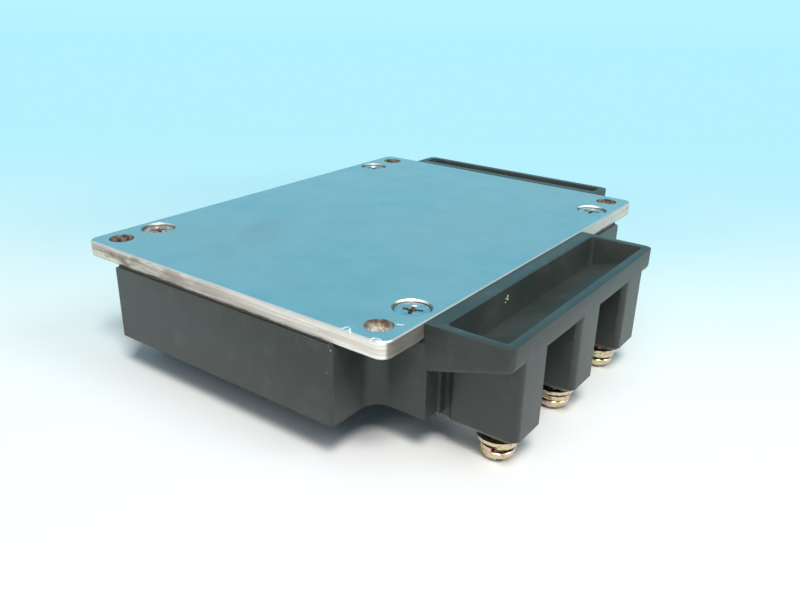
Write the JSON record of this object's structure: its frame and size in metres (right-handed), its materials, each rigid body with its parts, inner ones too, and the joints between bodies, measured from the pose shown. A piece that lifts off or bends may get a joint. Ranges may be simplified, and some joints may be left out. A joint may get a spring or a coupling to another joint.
{
  "type": "igbt module",
  "caption": "Six-pack power transistor module, base plate up: dark moulded case with terminal trays on two sides, resting on its terminal screws.",
  "frame": {"origin": "centre of the base plate's exposed face, the face that is bolted to the heat sink", "axes": "+Z out of the base plate, +X along the plate's long side towards the supply terminals, -Y towards the three output terminals"},
  "size_m": [0.127, 0.1052, 0.0288],
  "materials": {
    "plate_metal": "satin",
    "case_plastic": "matte",
    "adhesive": "satin",
    "screw_steel": "satin",
    "yellow_zinc": "satin",
    "terminal_copper": "satin",
    "solder": "satin",
    "bare_copper": "satin",
    "alumina": "matte",
    "silicon": "gloss",
    "ribbon_metal": "satin",
    "board_laminate": "satin",
    "chip_plastic": "matte",
    "passive_ceramic": "satin",
    "header_plastic": "matte",
    "pin_metal": "satin"
  },
  "bodies": {
    "root": {"base_plate": "plate_metal", "case_frame": "case_plastic", "case_lid": "case_plastic", "seal_bead": "adhesive", "case_screws": "screw_steel", "output_terminals": "terminal_copper", "positive_terminal": "terminal_copper", "negative_terminal": "terminal_copper", "terminal_nuts": "yellow_zinc", "terminal_screws": "yellow_zinc", "spring_washers": "yellow_zinc", "flat_washers": "yellow_zinc", "substrate_solder": "solder", "substrate_backs": "bare_copper", "substrate_ceramics": "alumina", "substrate_tracks": "bare_copper", "igbt_chips": "silicon", "diode_chips": "silicon", "bond_ribbons": "ribbon_metal", "gate_board": "board_laminate", "driver_chips": "chip_plastic", "gate_resistors": "chip_plastic", "buffer_capacitors": "passive_ceramic", "link_pins": "pin_metal", "pin_headers": "header_plastic", "control_pins": "pin_metal"}
  },
  "joints": []
}
